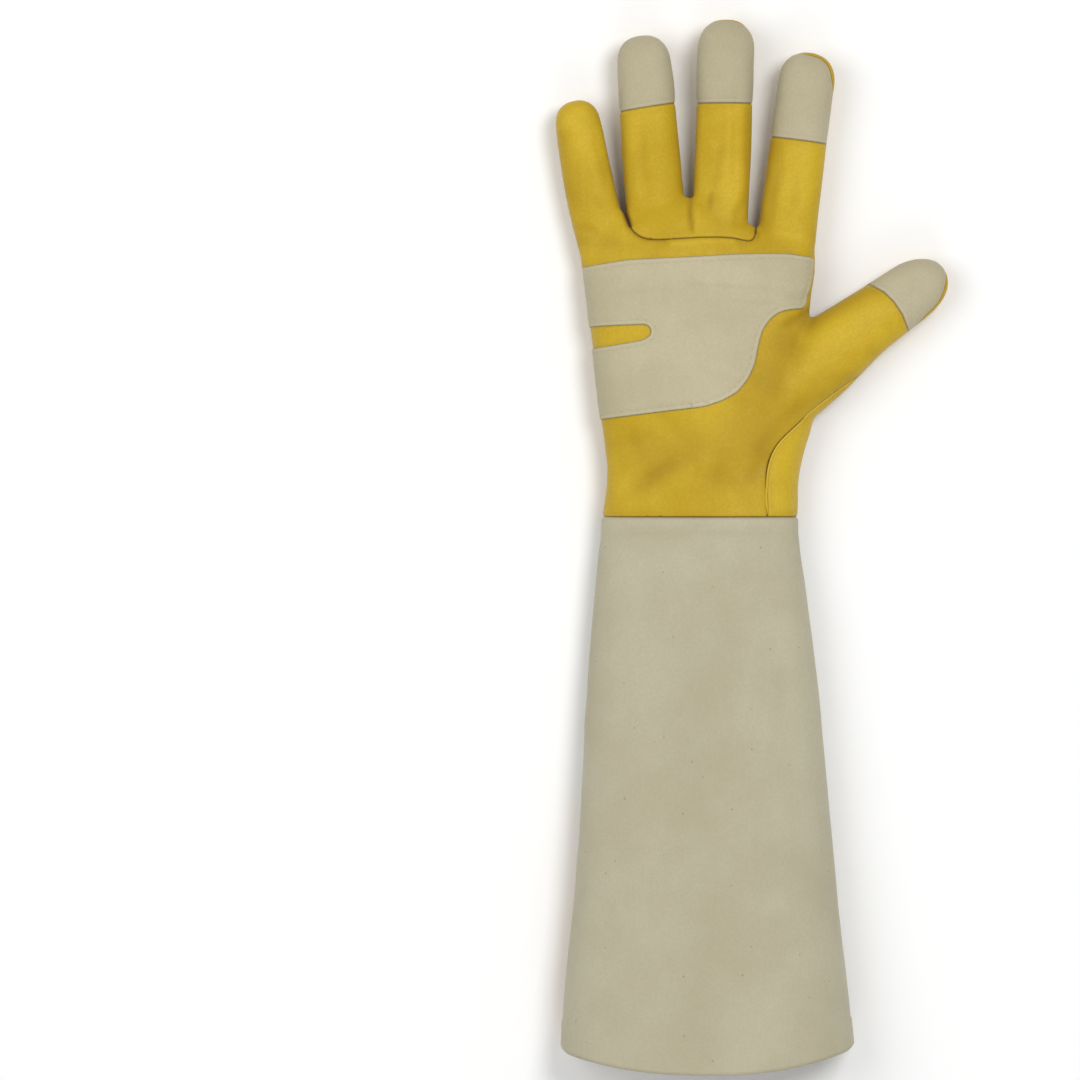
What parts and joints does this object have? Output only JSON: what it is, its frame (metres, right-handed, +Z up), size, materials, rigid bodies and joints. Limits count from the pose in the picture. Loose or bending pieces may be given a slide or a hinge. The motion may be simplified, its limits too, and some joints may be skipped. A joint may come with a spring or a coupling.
{
  "type": "pruning glove",
  "caption": "Long-cuffed leather pruning glove for the right hand, with a gathered wrist, a notched palm patch and reinforced fingertips, lying palm up.",
  "frame": {"origin": "centre of the glove's outline on the table it lies on, at table height", "axes": "+Y from the cuff's hem towards the fingertips, +X towards the thumb side, +Z up out of the palm, away from the table"},
  "size_m": [0.1683, 0.4533, 0.0515],
  "materials": {
    "yellow_leather": "soft matt grain leather",
    "cream_leather": "soft matt suede-like leather",
    "gold_binding": "narrow matt binding"
  },
  "bodies": {
    "root": {"back_panel": "yellow_leather", "palm_panel": "yellow_leather", "middle_ring_front": "yellow_leather", "fourchette_little_ring": "yellow_leather", "fourchette_ring_middle": "yellow_leather", "fourchette_middle_index": "yellow_leather", "tip_patch_ring": "cream_leather", "tip_patch_middle": "cream_leather", "tip_patch_index": "cream_leather", "tip_patch_thumb": "cream_leather", "thumb_back": "yellow_leather", "side_gusset": "yellow_leather", "palm_patch": "cream_leather", "cuff": "cream_leather", "vent_binding": "gold_binding"}
  },
  "joints": []
}
